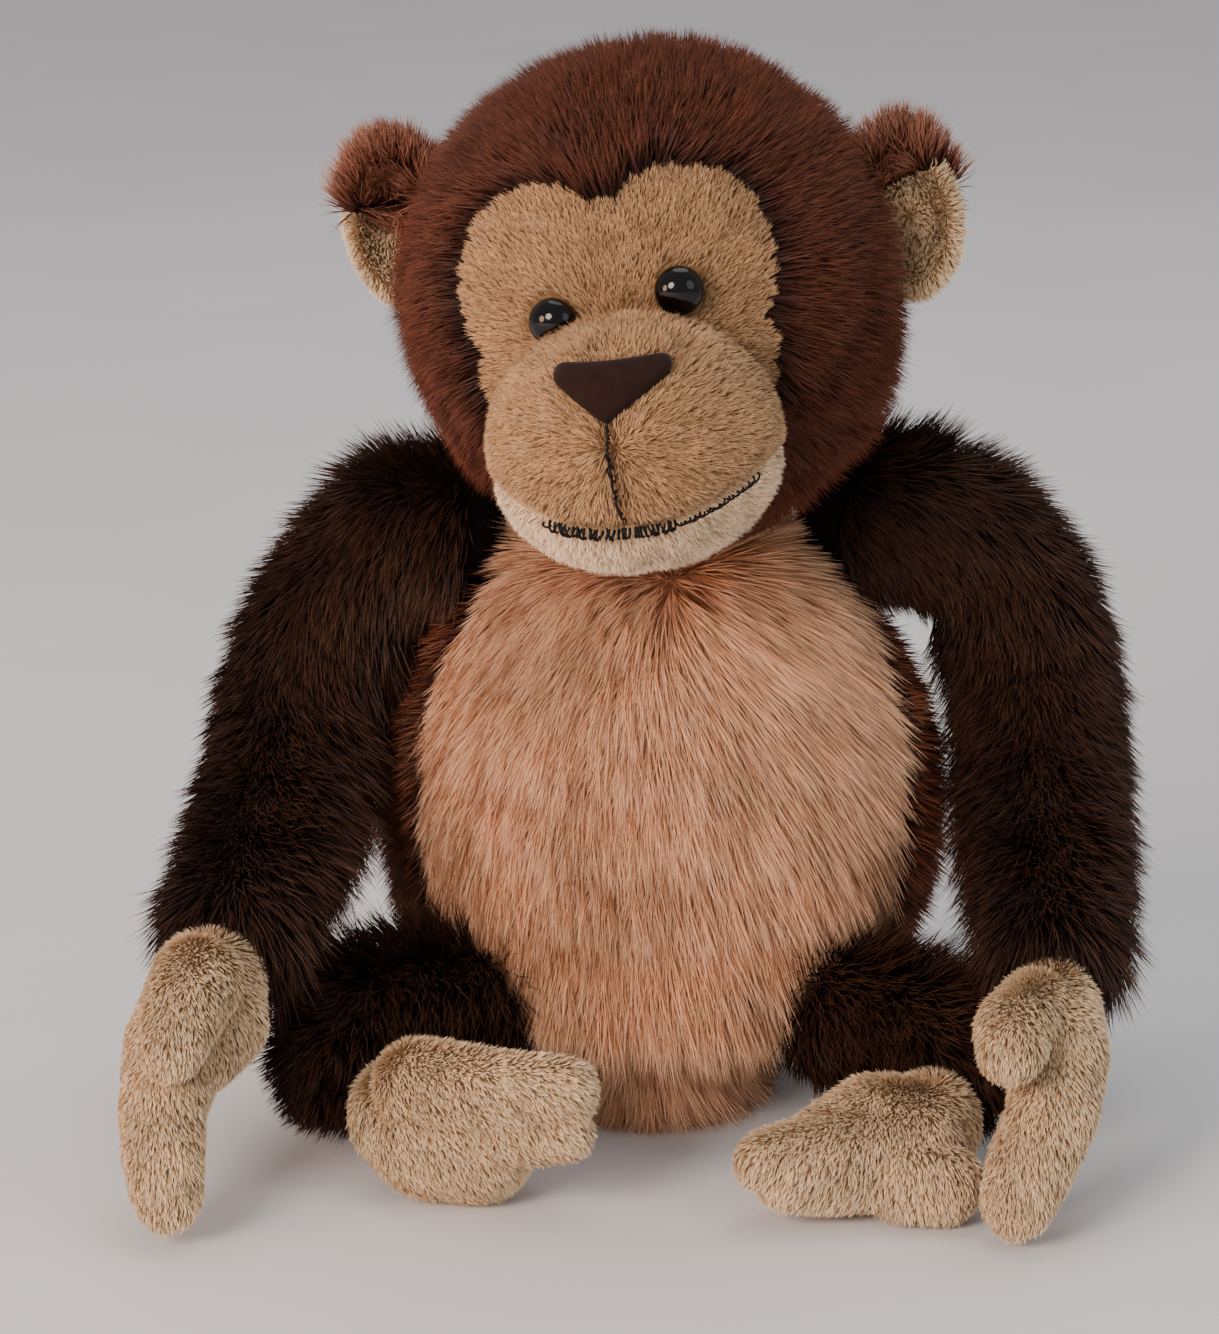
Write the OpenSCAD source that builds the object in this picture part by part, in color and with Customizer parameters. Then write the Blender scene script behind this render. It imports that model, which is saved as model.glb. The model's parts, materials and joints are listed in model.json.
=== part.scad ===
// Stuffed monkey sitting on its round seat panel, with its hands and feet on the floor.
// Millimetres, +Z up. It faces -Y, and its own left side is at +X.
// The origin is the middle of the seat panel's underside.
// Every cover is a cloth shell around its stuffing. A child part ends in a ball that turns
// in a hollow of its parent, because the real joints are soft seams.

/* [Head] */
// Half width of the head cover
head_rx = 50; // [48:0.5:51]
// Half depth of the head cover
head_ry = 48; // [46:0.5:49]
// Half height of the head cover
head_rz = 49.5; // [47:0.5:51]
// Turn of the face to the monkey's right
face_turn = 8; // [4:1:10]
// Lean of the head to the monkey's right
face_lean = 9; // [5:1:10]
// Diameter of each plastic eye
eye_d = 10; // [8:0.5:11]

/* [Body] */
// Half width of the body
body_rx = 60; // [56:0.5:61]
// Half depth of the body
body_ry = 55; // [50:0.5:56]
// Radius of the flat seat panel
seat_r = 30; // [26:1:32]

/* [Limbs] */
// Radius of each arm cover
arm_r = 15.5; // [14:0.5:15.5]
// Radius of each leg cover
leg_r = 15; // [13:0.5:15]
// Gap between a limb's ball and its hollow
joint_gap = 0.4; // [0.35:0.05:0.8]

/* [Cloth] */
// Packed thickness of the long pile with its backing
fur_t = 3.4; // [2.5:0.1:4]
// Packed thickness of the short plush with its backing
plush_t = 2.2; // [1.6:0.1:2.6]

/* [Hidden] */

// Colours
head_brown = "#5a2c1b";
limb_brown = "#38200f";
tan_plush = "#c2a078";
peach_pile = "#dcae8c";
cream_plush = "#ead2b4";
thread_black = "#141213";
white_fill = "#f0eee8";

far = 400;
facets_large = 24;
facets_small = 12;
facets_room = 8;

// Places on the head are given from its centre, in the face's own turned frame
head_c = [-1, -12, 173.5];
muzzle_c = [1, -49, -21];
muzzle_radii = [29.5, 27.5, 26];
nose_corners = [[-8, -4.4], [10.4, -4.8], [-0.2, -11]];
nose_round = 2;
nose_t = 1.2;
mouth_half_w = 23;
mouth_half_h = 0.7;
philtrum_w = 0.8;
philtrum_h = 18.9;
philtrum_x = 0;
philtrum_low = -32.4;
thread_t = 0.65;
eye_x = 12.8;
eye_z = 5;
eye_shift = 0.4;
eye_uneven = 1.4;
eye_flatness = 0.8;
eye_sink = 1.2;
eye_rise = 0.6;
eye_splay = 12;
eye_droop = 4;
stem_r = 1.5;
stem_reach = 9;
fit_gap = 0.2;
washer_r = 5.5;
washer_t = 1.2;
washer_depth = 6.4;

// Joint centres and the radii of their balls
neck_c = [-1, -4, 124];
neck_r = 17;
wrist_r = 11.5;
ankle_r = 12.5;
seat_t = 3;
hip_lift = 18;
lift_step = 9;
pellet_h = 26;
bag_t = 0.6;

// Each limb is a chain of balls: x, y, z, radius
arm_left = [
    [43, 0, 123, arm_r + 0.5], [57, 0, 123, arm_r + 0.5], [69.5, 0, 118.5, arm_r], [79, -1, 107, arm_r],
    [84, -3, 92, arm_r], [85, -16, 74, arm_r], [84, -34, 60, arm_r], [82.5, -56, 47, arm_r - 1]
];
arm_right = [
    [-42, 0, 119.5, arm_r + 0.5], [-54, 0, 119.5, arm_r + 0.5], [-65, 0, 108.5, arm_r], [-73, -1, 96, arm_r],
    [-77, -4, 84, arm_r], [-79, -17, 71, arm_r], [-82, -33, 60, arm_r], [-86, -53, 50, arm_r - 1]
];
hand_left = [[81, -71, 40, wrist_r], [85, -87, 30, 10.5], [81, -98, 19, 9], [72, -104, 8.2, 7.5]];
thumb_left = [[77, -82, 40, 10], [70.5, -97, 41, 7.5]];
hand_right = [[-90, -69, 43, wrist_r], [-94, -86, 33, 10.5], [-97, -97, 20, 9], [-96, -104, 8.2, 7.5]];
thumb_right = [[-87, -80, 42, 10], [-89, -96, 42, 8]];
leg_left = [[39, -33, 24, leg_r], [58.5, -48, 23, leg_r], [61, -57, 20, leg_r - 1.5]];
leg_right = [[-38, -33, 25, leg_r], [-61, -46, 26, leg_r], [-64, -56, 21, leg_r - 1]];
foot_left = [[57, -71, 16, ankle_r], [50, -84, 14.5, 13.5], [34, -92, 13.5, 10], [24, -96, 13, 8]];
toe_left = [[38, -92, 20, 8], [20, -97, 17, 6]];
foot_right = [[-57, -70, 17, ankle_r], [-46, -80, 15.5, 14.5], [-40, -85, 22, 9.5], [-19, -91, 24.5, 7.5]];
toe_right = [[-36, -90, 14, 8.5], [-18, -95, 14.5, 6.5]];

function ball_centre(b) = [b[0], b[1], b[2]];
function thinner(balls, t) = [for (b = balls) [b[0], b[1], b[2], b[3] - t]];

// ---- Helpers ----

// Joins its children into one cloth mesh
module meshed() {
    resize([0, 0, 0]) union() children();
}

module ellipsoid(radii, facets = facets_large) {
    scale(radii) sphere(r = 1, $fn = facets);
}

module ball(b, facets = facets_small) {
    translate(ball_centre(b)) sphere(r = b[3], $fn = facets);
}

module chain(balls, facets = facets_small) {
    for (i = [0:len(balls) - 2]) {
        hull() {
            ball(balls[i], facets);
            ball(balls[i + 1], facets);
        }
    }
}

// A hollow for a ball, with the joint's gap around it
module hollow(b) {
    translate(ball_centre(b)) sphere(r = b[3] + joint_gap + 0.3, $fn = 18);
}

// Half of space on the side that a direction points to
module half_space(through, direction) {
    translate(through)
        rotate([0, acos(direction[2] / norm(direction)), atan2(direction[1], direction[0])])
            translate([-far / 2, -far / 2, 0]) cube(far);
}

// ---- Head ----

module on_head() {
    translate(head_c) rotate([0, -face_lean, -face_turn]) children();
}

module head_solid(t) {
    ellipsoid([head_rx - t, head_ry - t, head_rz - t]);
}

module muzzle_solid(t) {
    translate(muzzle_c)
        ellipsoid([muzzle_radii[0] - t, muzzle_radii[1] - t, muzzle_radii[2] - t], 24);
}

module neck_hollow() {
    translate(neck_c) sphere(r = neck_r + joint_gap + 0.2, $fn = 28);
}

// Cuts through the front of the head along an outline drawn in x and z
module front_cutter() {
    rotate([90, 0, 0]) linear_extrude(height = far / 2) children();
}

module mask_outline() {
    for (side = [-1, 1]) {
        translate([side * 14, 9]) scale([18, 20]) circle(r = 1, $fn = 32);
        translate([side * 16, -8]) circle(r = 14, $fn = 32);
    }
    translate([-14, -20]) square([28, 45]);
}

// Everything below the smiling mouth line
module chin_outline() {
    mouth_drop = -33.5;
    smile = 0.012;
    half_w = 36;
    translate([muzzle_c[0], 0]) polygon(concat(
        [for (x = [-half_w:4:half_w]) [x, mouth_drop + smile * x * x]],
        [[half_w, -70], [-half_w, -70]]
    ));
}

module mouth_band() {
    difference() {
        offset(delta = mouth_half_h) chin_outline();
        offset(delta = -mouth_half_h) chin_outline();
    }
}

module eye_place(side) {
    x = side * eye_x + eye_shift;
    z = eye_z + side * eye_uneven;
    surface_y = -head_ry * sqrt(1 - pow(x / head_rx, 2) - pow(z / head_rz, 2));
    translate([x, surface_y + eye_sink, z])
        rotate([90 + eye_droop, 0, side * eye_splay]) children();
}

module eye_dome(r, facets) {
    translate([0, 0, eye_rise]) scale([1, 1, eye_flatness]) sphere(r = r, $fn = facets);
}

// The seat that a dome presses into the cloth
module eye_seats() {
    for (side = [-1, 1]) {
        eye_place(side) eye_dome(eye_d / 2 + fit_gap, 20);
    }
}

module head_fur() {
    difference() {
        head_solid(0);
        head_solid(fur_t);
        front_cutter() mask_outline();
        muzzle_solid(0);
        for (side = [-1, 1]) {
            ear_groove(side);
        }
    }
}

module head_panel(x0, x1) {
    meshed() difference() {
        on_head() intersection() {
            head_fur();
            translate([x0, -far / 2, -far / 2]) cube([x1 - x0, far, far]);
        }
        neck_hollow();
    }
}

gusset_half = 11;

module head_fur_left() {
    color(head_brown) head_panel(gusset_half, far);
}

module head_fur_right() {
    color(head_brown) head_panel(-far, -gusset_half);
}

module head_gusset() {
    color(head_brown) head_panel(-gusset_half, gusset_half);
}

module face_mask() {
    color(tan_plush) meshed() on_head() difference() {
        intersection() {
            head_solid(fur_t - plush_t);
            front_cutter() mask_outline();
        }
        head_solid(fur_t);
        muzzle_solid(0);
        eye_seats();
        for (side = [-1, 1]) {
            eye_place(side) cylinder(r = stem_r + fit_gap, h = 30, center = true, $fn = 16);
        }
    }
}

module muzzle_shell() {
    difference() {
        muzzle_solid(0);
        muzzle_solid(plush_t);
        head_solid(fur_t);
    }
}

module muzzle_cover() {
    color(tan_plush) meshed() on_head() difference() {
        muzzle_shell();
        front_cutter() chin_outline();
        eye_seats();
    }
}

module chin_panel() {
    color(cream_plush) meshed() on_head() intersection() {
        muzzle_shell();
        front_cutter() chin_outline();
    }
}

// A thin layer that lies on the muzzle
module on_muzzle_layer(t) {
    intersection() {
        difference() {
            muzzle_solid(-t);
            muzzle_solid(0);
        }
        translate([0, muzzle_c[1], 0]) front_cutter() children();
    }
}

module nose_patch() {
    color("#3a1f1a") meshed() on_head() on_muzzle_layer(nose_t)
        offset(r = nose_round, $fn = 20) polygon(nose_corners);
}

module mouth_stitch() {
    color(thread_black) meshed() on_head() intersection() {
        on_muzzle_layer(thread_t) mouth_band();
        translate([muzzle_c[0] - mouth_half_w, -far, -40]) cube([2 * mouth_half_w, far, 20]);
    }
}

module philtrum_stitch() {
    color(thread_black) meshed() on_head() on_muzzle_layer(thread_t)
        translate([philtrum_x - philtrum_w / 2, philtrum_low]) square([philtrum_w, philtrum_h]);
}

// The dome, its rim and the ribbed stem are one moulding
module eye(side) {
    color("#0b0a0b") on_head() eye_place(side) {
        eye_dome(eye_d / 2, 48);
        translate([0, 0, -stem_reach]) cylinder(r = stem_r, h = stem_reach - 1, $fn = 32);
    }
}

module eye_left() {
    eye(1);
}

module eye_right() {
    eye(-1);
}

// Pressed on the stem behind the cloth
module eye_washer(side) {
    color("#d8d8d6") on_head() eye_place(side) translate([0, 0, -washer_depth]) difference() {
        cylinder(r = washer_r, h = washer_t, $fn = 32);
        translate([0, 0, -1]) cylinder(r = stem_r, h = washer_t + 2, $fn = 32);
    }
}

module eye_washer_left() {
    eye_washer(1);
}

module eye_washer_right() {
    eye_washer(-1);
}

module head_stuffing() {
    color(white_fill) meshed() difference() {
        on_head() difference() {
            union() {
                head_solid(fur_t);
                muzzle_solid(plush_t);
            }
            eye_seats();
            for (side = [-1, 1]) {
                ear_groove(side);
                eye_place(side) {
                    translate([0, 0, -stem_reach - 0.5]) cylinder(r = washer_r + 0.3, h = 4.5, $fn = 16);
                    cylinder(r = stem_r + 0.3, h = 24, center = true, $fn = 16);
                }
            }
        }
        neck_hollow();
    }
}

// ---- Ears: a front and a back sewn round the rim, folding on a root let into the head ----

// The hinge and the reach of the blade beyond it, for the right ear and the left one
ear_hinges = [[-46.6, 6, 20], [50.4, 6, 5]];
ear_centres = [[-50.5, 6.5, 23], [56, 6.5, 8]];
ear_blade = [12, 4, 16];
ear_edge_r = 3.2;
ear_half_h = 9;
ear_root_r = 4.6;
ear_groove_r = 5.4;

function ear_index(side) = (side + 1) / 2;

module ear_root(side, r, spare) {
    translate(ear_hinges[ear_index(side)] - [0, 0, ear_blade[2] + spare])
        cylinder(r = r, h = 2 * (ear_blade[2] + spare), $fn = 20);
}

// The room in the head that the ear's sewn edge turns in
module ear_groove(side) {
    translate([0, 0, 1.5]) ear_root(side, ear_groove_r, 2);
}

module ear_blade_solid(side) {
    hinge = ear_hinges[ear_index(side)];
    hull() {
        for (end = [-1, 1]) {
            translate(hinge + [0, 0, end * ear_half_h]) sphere(r = ear_edge_r, $fn = 14);
        }
        translate(ear_centres[ear_index(side)]) ellipsoid(ear_blade, 22);
    }
}

// The blade beyond the hinge, with a round root inside it
module ear_solid(side) {
    hinge = ear_hinges[ear_index(side)];
    intersection() {
        ear_blade_solid(side);
        union() {
            ear_root(side, ear_root_r, 4);
            half_space(hinge, [side, 0, 0]);
        }
    }
}

module ear_half(side, front) {
    meshed() on_head() intersection() {
        ear_solid(side);
        half_space([0, ear_hinges[0][1] + 0.5, 0], [0, front ? -1 : 1, 0]);
    }
}

module ear_front_left() {
    color(tan_plush) ear_half(1, true);
}

module ear_back_left() {
    color(head_brown) ear_half(1, false);
}

module ear_front_right() {
    color(tan_plush) ear_half(-1, true);
}

module ear_back_right() {
    color(head_brown) ear_half(-1, false);
}

module neck_stuffing() {
    color(white_fill) translate(neck_c) sphere(r = neck_r, $fn = 48);
}

// ---- Body ----

body_c = [2, 2, 61];
body_rz = 61;
shoulder_c = [0, 0, 104];
shoulder_radii = [44, 32, 22];

module body_solid(t) {
    hull() {
        translate(body_c) ellipsoid([body_rx - t, body_ry - t, body_rz - t]);
        translate(shoulder_c) ellipsoid([shoulder_radii[0] - t, shoulder_radii[1] - t, shoulder_radii[2] - t], 24);
        translate([0, 0, t > 0 ? seat_t : 0]) cylinder(r = seat_r, h = 1, $fn = 48);
    }
}

// The room that the root of a limb needs while it lifts about its first ball
module limb_room(balls, lift) {
    root = thinner([balls[0], balls[1]], -joint_gap - 0.9);
    pivot = ball_centre(root[0]);
    for (angle = [0:lift_step:lift]) {
        translate(pivot) rotate([-angle, 0, 0]) translate(-pivot) chain(root, facets_room);
    }
}

module body_hollows() {
    neck_hollow();
    for (arm = [arm_left, arm_right]) {
        hollow(arm[0]);
        limb_room(arm, 0);
    }
    for (leg = [leg_left, leg_right]) {
        hollow(leg[0]);
        limb_room(leg, hip_lift);
    }
}

module body_cover() {
    difference() {
        body_solid(0);
        body_solid(fur_t);
        body_hollows();
        translate([0, 0, -1]) cylinder(r = seat_r + 0.3, h = seat_t + 1, $fn = 48);
    }
}

module belly_outline() {
    translate([2, 66]) scale([43, 60]) circle(r = 1, $fn = 40);
}

module belly_panel() {
    color(peach_pile) meshed() intersection() {
        body_cover();
        front_cutter() belly_outline();
    }
}

module body_side(side) {
    meshed() difference() {
        intersection() {
            body_cover();
            half_space([0, 0, 0], [side, 0, 0]);
        }
        front_cutter() belly_outline();
    }
}

module body_side_left() {
    color(limb_brown) body_side(1);
}

module body_side_right() {
    color(limb_brown) body_side(-1);
}

module seat_panel() {
    color(limb_brown) cylinder(r = seat_r, h = seat_t, $fn = 64);
}

module body_stuffing() {
    color(white_fill) meshed() difference() {
        body_solid(fur_t);
        body_hollows();
        translate([0, 0, seat_t + pellet_h - far]) cylinder(r = far, h = far, $fn = 8);
    }
}

module pellet_space(t) {
    translate([0, 0, seat_t + t]) cylinder(r1 = 22 - t, r2 = 18 - t, h = pellet_h - bag_t - t, $fn = 40);
}

// The bag is two cloth pieces: a cup and a lid sewn over it
module pellet_bag_cup() {
    color("#e4e0d6") difference() {
        pellet_space(0);
        translate([0, 0, seat_t + bag_t]) cylinder(r1 = 22 - bag_t, r2 = 18 - bag_t, h = pellet_h, $fn = 40);
    }
}

module pellet_bag_top() {
    color("#e4e0d6") translate([0, 0, seat_t + pellet_h - bag_t]) cylinder(r = 18, h = bag_t, $fn = 40);
}

module pellet_fill() {
    color("#cfd3d6") pellet_space(bag_t + 0.05);
}

// ---- Limbs ----

module limb_solid(balls, lobe, t) {
    chain(thinner(balls, t));
    if (len(lobe) > 0) {
        chain(thinner(lobe, t));
    }
}

// One panel of a two-panel cover, on the side that a direction points to
module limb_panel(balls, lobe, t, through, direction, socket) {
    meshed() intersection() {
        difference() {
            limb_solid(balls, lobe, 0);
            limb_solid(balls, lobe, t);
            if (len(socket) > 0) {
                hollow(socket);
            }
        }
        half_space(through, direction);
    }
}

module limb_fill(balls, lobe, t, socket) {
    color(white_fill) meshed() difference() {
        limb_solid(balls, lobe, t);
        if (len(socket) > 0) {
            hollow(socket);
        }
    }
}

arm_seam_left = [0.83, 0, 0.55];
arm_seam_right = [-0.83, 0, 0.55];

module arm_outer_left() {
    color(limb_brown)
        limb_panel(arm_left, [], fur_t, ball_centre(arm_left[4]) - [8, 0, 0], arm_seam_left, hand_left[0]);
}

module arm_inner_left() {
    color(limb_brown)
        limb_panel(arm_left, [], fur_t, ball_centre(arm_left[4]) - [8, 0, 0], -arm_seam_left, hand_left[0]);
}

module arm_stuffing_left() {
    limb_fill(arm_left, [], fur_t, hand_left[0]);
}

module arm_outer_right() {
    color(limb_brown)
        limb_panel(arm_right, [], fur_t, ball_centre(arm_right[4]) + [8, 0, 0], arm_seam_right, hand_right[0]);
}

module arm_inner_right() {
    color(limb_brown)
        limb_panel(arm_right, [], fur_t, ball_centre(arm_right[4]) + [8, 0, 0], -arm_seam_right, hand_right[0]);
}

module arm_stuffing_right() {
    limb_fill(arm_right, [], fur_t, hand_right[0]);
}

hand_seam = [1, 0, 0];

module hand_back_left() {
    color(tan_plush)
        limb_panel(hand_left, thumb_left, plush_t, ball_centre(hand_left[2]), hand_seam, []);
}

module hand_palm_left() {
    color(tan_plush)
        limb_panel(hand_left, thumb_left, plush_t, ball_centre(hand_left[2]), -hand_seam, []);
}

module hand_stuffing_left() {
    limb_fill(hand_left, thumb_left, plush_t, []);
}

module hand_back_right() {
    color(tan_plush)
        limb_panel(hand_right, thumb_right, plush_t, ball_centre(hand_right[2]), -hand_seam, []);
}

module hand_palm_right() {
    color(tan_plush)
        limb_panel(hand_right, thumb_right, plush_t, ball_centre(hand_right[2]), hand_seam, []);
}

module hand_stuffing_right() {
    limb_fill(hand_right, thumb_right, plush_t, []);
}

leg_seam = [0, 0, 1];

module leg_outer_left() {
    color(limb_brown) limb_panel(leg_left, [], fur_t, ball_centre(leg_left[1]), leg_seam, foot_left[0]);
}

module leg_inner_left() {
    color(limb_brown) limb_panel(leg_left, [], fur_t, ball_centre(leg_left[1]), -leg_seam, foot_left[0]);
}

module leg_stuffing_left() {
    limb_fill(leg_left, [], fur_t, foot_left[0]);
}

module leg_outer_right() {
    color(limb_brown) limb_panel(leg_right, [], fur_t, ball_centre(leg_right[1]), leg_seam, foot_right[0]);
}

module leg_inner_right() {
    color(limb_brown) limb_panel(leg_right, [], fur_t, ball_centre(leg_right[1]), -leg_seam, foot_right[0]);
}

module leg_stuffing_right() {
    limb_fill(leg_right, [], fur_t, foot_right[0]);
}

foot_seam = [0, 0.6, 0.8];

module foot_top_left() {
    color(tan_plush) limb_panel(foot_left, toe_left, plush_t, ball_centre(foot_left[2]), foot_seam, []);
}

module foot_sole_left() {
    color(tan_plush) limb_panel(foot_left, toe_left, plush_t, ball_centre(foot_left[2]), -foot_seam, []);
}

module foot_stuffing_left() {
    limb_fill(foot_left, toe_left, plush_t, []);
}

module foot_top_right() {
    color(tan_plush) limb_panel(foot_right, toe_right, plush_t, ball_centre(foot_right[1]), foot_seam, []);
}

module foot_sole_right() {
    color(tan_plush) limb_panel(foot_right, toe_right, plush_t, ball_centre(foot_right[1]), -foot_seam, []);
}

module foot_stuffing_right() {
    limb_fill(foot_right, toe_right, plush_t, []);
}

head_fur_left();
head_fur_right();
head_gusset();
face_mask();
muzzle_cover();
chin_panel();
nose_patch();
mouth_stitch();
philtrum_stitch();
eye_left();
eye_right();
eye_washer_left();
eye_washer_right();
head_stuffing();
ear_front_left();
ear_back_left();
ear_front_right();
ear_back_right();
neck_stuffing();
belly_panel();
body_side_left();
body_side_right();
seat_panel();
body_stuffing();
pellet_bag_top();
pellet_bag_cup();
pellet_fill();
arm_outer_left();
arm_inner_left();
arm_stuffing_left();
arm_outer_right();
arm_inner_right();
arm_stuffing_right();
hand_back_left();
hand_palm_left();
hand_stuffing_left();
hand_back_right();
hand_palm_right();
hand_stuffing_right();
leg_outer_left();
leg_inner_left();
leg_stuffing_left();
leg_outer_right();
leg_inner_right();
leg_stuffing_right();
foot_top_left();
foot_sole_left();
foot_stuffing_left();
foot_top_right();
foot_sole_right();
foot_stuffing_right();
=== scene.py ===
import json
import math

import bmesh
import bpy
from mathutils import Matrix, Vector


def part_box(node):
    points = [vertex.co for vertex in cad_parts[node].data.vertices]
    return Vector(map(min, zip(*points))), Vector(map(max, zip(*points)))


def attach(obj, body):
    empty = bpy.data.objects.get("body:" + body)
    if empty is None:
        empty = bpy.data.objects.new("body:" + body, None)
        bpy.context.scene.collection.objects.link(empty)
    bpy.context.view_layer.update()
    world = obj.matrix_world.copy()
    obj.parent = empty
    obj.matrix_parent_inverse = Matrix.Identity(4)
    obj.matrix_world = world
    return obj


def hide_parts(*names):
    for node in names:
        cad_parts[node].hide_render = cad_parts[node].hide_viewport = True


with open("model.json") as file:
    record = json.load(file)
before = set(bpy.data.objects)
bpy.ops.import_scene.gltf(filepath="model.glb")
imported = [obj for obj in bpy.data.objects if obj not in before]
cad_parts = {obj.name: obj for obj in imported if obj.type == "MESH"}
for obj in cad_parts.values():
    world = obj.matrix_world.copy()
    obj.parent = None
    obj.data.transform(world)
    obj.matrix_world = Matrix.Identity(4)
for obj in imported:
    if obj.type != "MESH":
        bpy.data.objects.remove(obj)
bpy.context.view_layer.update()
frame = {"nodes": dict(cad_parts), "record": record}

MM = 0.001

# ---- Table, backdrop, lamps and camera ----
# A plain pale floor under big soft lamps, seen from a little above the toy.
# The camera looks down at the middle of the toy through a long lens.


def colour(code):
    """An sRGB hex colour as a linear RGBA value."""
    channels = [int(code[i:i + 2], 16) / 255 for i in (1, 3, 5)]
    linear = [c / 12.92 if c <= 0.04045 else ((c + 0.055) / 1.055) ** 2.4 for c in channels]
    return (*linear, 1.0)


def add_node(tree, kind, links=None, **settings):
    """Adds a node. links gives each input its value, or the socket or node that feeds it."""
    node = tree.nodes.new(kind)
    for name, value in settings.items():
        setattr(node, name, value)
    for key, source in (links or {}).items():
        if isinstance(source, bpy.types.Node):
            source = source.outputs[0]
        if isinstance(source, bpy.types.NodeSocket):
            tree.links.new(source, node.inputs[key])
        else:
            node.inputs[key].default_value = source
    return node


def new_material(name, **constants):
    """A material with one Principled shader and its constant sockets set."""
    material = bpy.data.materials.new(name)
    material.use_nodes = True
    shader = material.node_tree.nodes["Principled BSDF"]
    for socket, value in constants.items():
        shader.inputs[socket.replace("_", " ")].default_value = value
    return material, material.node_tree, shader


def new_piece(name, mesh):
    """A new object at the origin that holds a mesh."""
    piece = bpy.data.objects.new(name, mesh)
    bpy.context.collection.objects.link(piece)
    return piece


def mesh_object(name, points=(), faces=()):
    """A new object from points in metres and the faces between them."""
    mesh = bpy.data.meshes.new(name)
    mesh.from_pydata([tuple(p) for p in points], [], faces)
    return new_piece(name, mesh)


def two_tones(tree, shader, patch, dark, light, detail=2.0):
    """Colours a material in soft patches of two tones, about patch metres wide. Returns their node."""
    place = add_node(tree, "ShaderNodeTexCoord")
    patches = add_node(tree, "ShaderNodeTexNoise", {
        "Vector": place.outputs["Object"], "Scale": 1 / patch, "Detail": detail})
    ramp = add_node(tree, "ShaderNodeValToRGB", {"Fac": patches})
    ramp.color_ramp.elements[0].color = dark
    ramp.color_ramp.elements[1].color = light
    tree.links.new(ramp.outputs["Color"], shader.inputs["Base Color"])
    return patches


# Matt white paper: a faint mottle, 110 mm across, keeps it from looking computed
paper, paper_tree, paper_shader = new_material("matt_paper", Roughness=0.8, Specular_IOR_Level=0.2)
two_tones(paper_tree, paper_shader, 1 / 9, colour("#e2e0e1"), colour("#edebeb"))
floor_half = 6.0
floor_corners = [(x * floor_half, y * floor_half, 0) for x, y in ((-1, -1), (1, -1), (1, 1), (-1, 1))]
floor = mesh_object("floor", floor_corners, [(0, 1, 2, 3)])
floor.data.materials.append(paper)

view_target = Vector((-9, -20, 96)) * MM
view_distance = 900 * MM
view_tilt = math.radians(14)
half_view = math.radians(8.85)
camera_data = bpy.data.cameras.new("camera")
camera_data.sensor_width = 36
camera_data.lens = 18 / math.tan(half_view)
camera = bpy.data.objects.new("camera", camera_data)
camera.location = view_target + view_distance * Vector((0, -math.cos(view_tilt), math.sin(view_tilt)))
camera.rotation_euler = (math.pi / 2 - view_tilt, 0, 0)
bpy.context.collection.objects.link(camera)
bpy.context.scene.camera = camera


def soft_lamp(name, place, size, power, tint):
    """A round soft lamp aimed at the middle of the toy."""
    lamp = bpy.data.lights.new(name, "AREA")
    lamp.shape = "DISK"
    lamp.size = size
    lamp.energy = power
    lamp.color = colour(tint)[:3]
    holder = bpy.data.objects.new(name, lamp)
    holder.location = place
    holder.rotation_euler = (view_target - Vector(place)).to_track_quat("-Z", "Y").to_euler()
    bpy.context.collection.objects.link(holder)


soft_lamp("lamp_key", (-0.75, -1.25, 0.7), 0.6, 18.5, "#fff2e8")
soft_lamp("lamp_warm", (-1.15, -0.75, 0.35), 0.5, 9.0, "#ffc9a6")
soft_lamp("lamp_fill", (1.1, -1.0, 0.7), 0.9, 2.9, "#f0fff8")
soft_lamp("lamp_top", (0.1, 0.4, 1.6), 1.2, 7.5, "#ffffff")
world = bpy.data.worlds.new("room")
world.use_nodes = True
world.node_tree.nodes["Background"].inputs["Color"].default_value = colour("#e9e7ea")
world.node_tree.nodes["Background"].inputs["Strength"].default_value = 0.58
bpy.context.scene.world = world

# ---- Body: side panels, belly panel and seat ----
# A round bag of knitted-back plush, stuffed with polyester fibre. The sides are dark
# brown long pile and the belly is a longer, shaggy peach pile, sewn on as an oval.


def smoothed(piece, voxel, rounds):
    """Remeshes a closed piece evenly and smooths away its facets."""
    remesh = piece.modifiers.new("even", "REMESH")
    remesh.mode = "VOXEL"
    remesh.voxel_size = voxel
    relax = piece.modifiers.new("relax", "SMOOTH")
    relax.factor = 0.5
    relax.iterations = rounds
    return flattened(piece)


def flattened(piece):
    """Turns what the modifiers make into the piece's own plain mesh."""
    ready = piece.evaluated_get(bpy.context.evaluated_depsgraph_get())
    mesh = bpy.data.meshes.new_from_object(ready)
    piece.modifiers.clear()
    old = piece.data
    piece.data = mesh
    bpy.data.meshes.remove(old)
    mesh.name = piece.name
    return piece


def stuffed(name, solids, voxel, rounds, swell, floor_gap):
    """Welds solids into one smooth cover, swollen outwards and kept just off the table."""
    piece = mesh_object(name)
    solids.to_mesh(piece.data)
    solids.free()
    smoothed(piece, voxel, rounds)
    for vertex in piece.data.vertices:
        vertex.co += vertex.normal * swell
        vertex.co.z = max(vertex.co.z, floor_gap)
    piece.data.shade_smooth()
    return piece


def cover_over(name, nodes, voxel, rounds, swell):
    """A stuffed cover that follows the outline of the stuffing it holds."""
    joined = bmesh.new()
    for node in nodes:
        joined.from_mesh(frame["nodes"][node].data)
    bmesh.ops.remove_doubles(joined, verts=joined.verts, dist=1e-6)
    return stuffed(name, joined, voxel, rounds, swell, 0.2 * MM)


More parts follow.
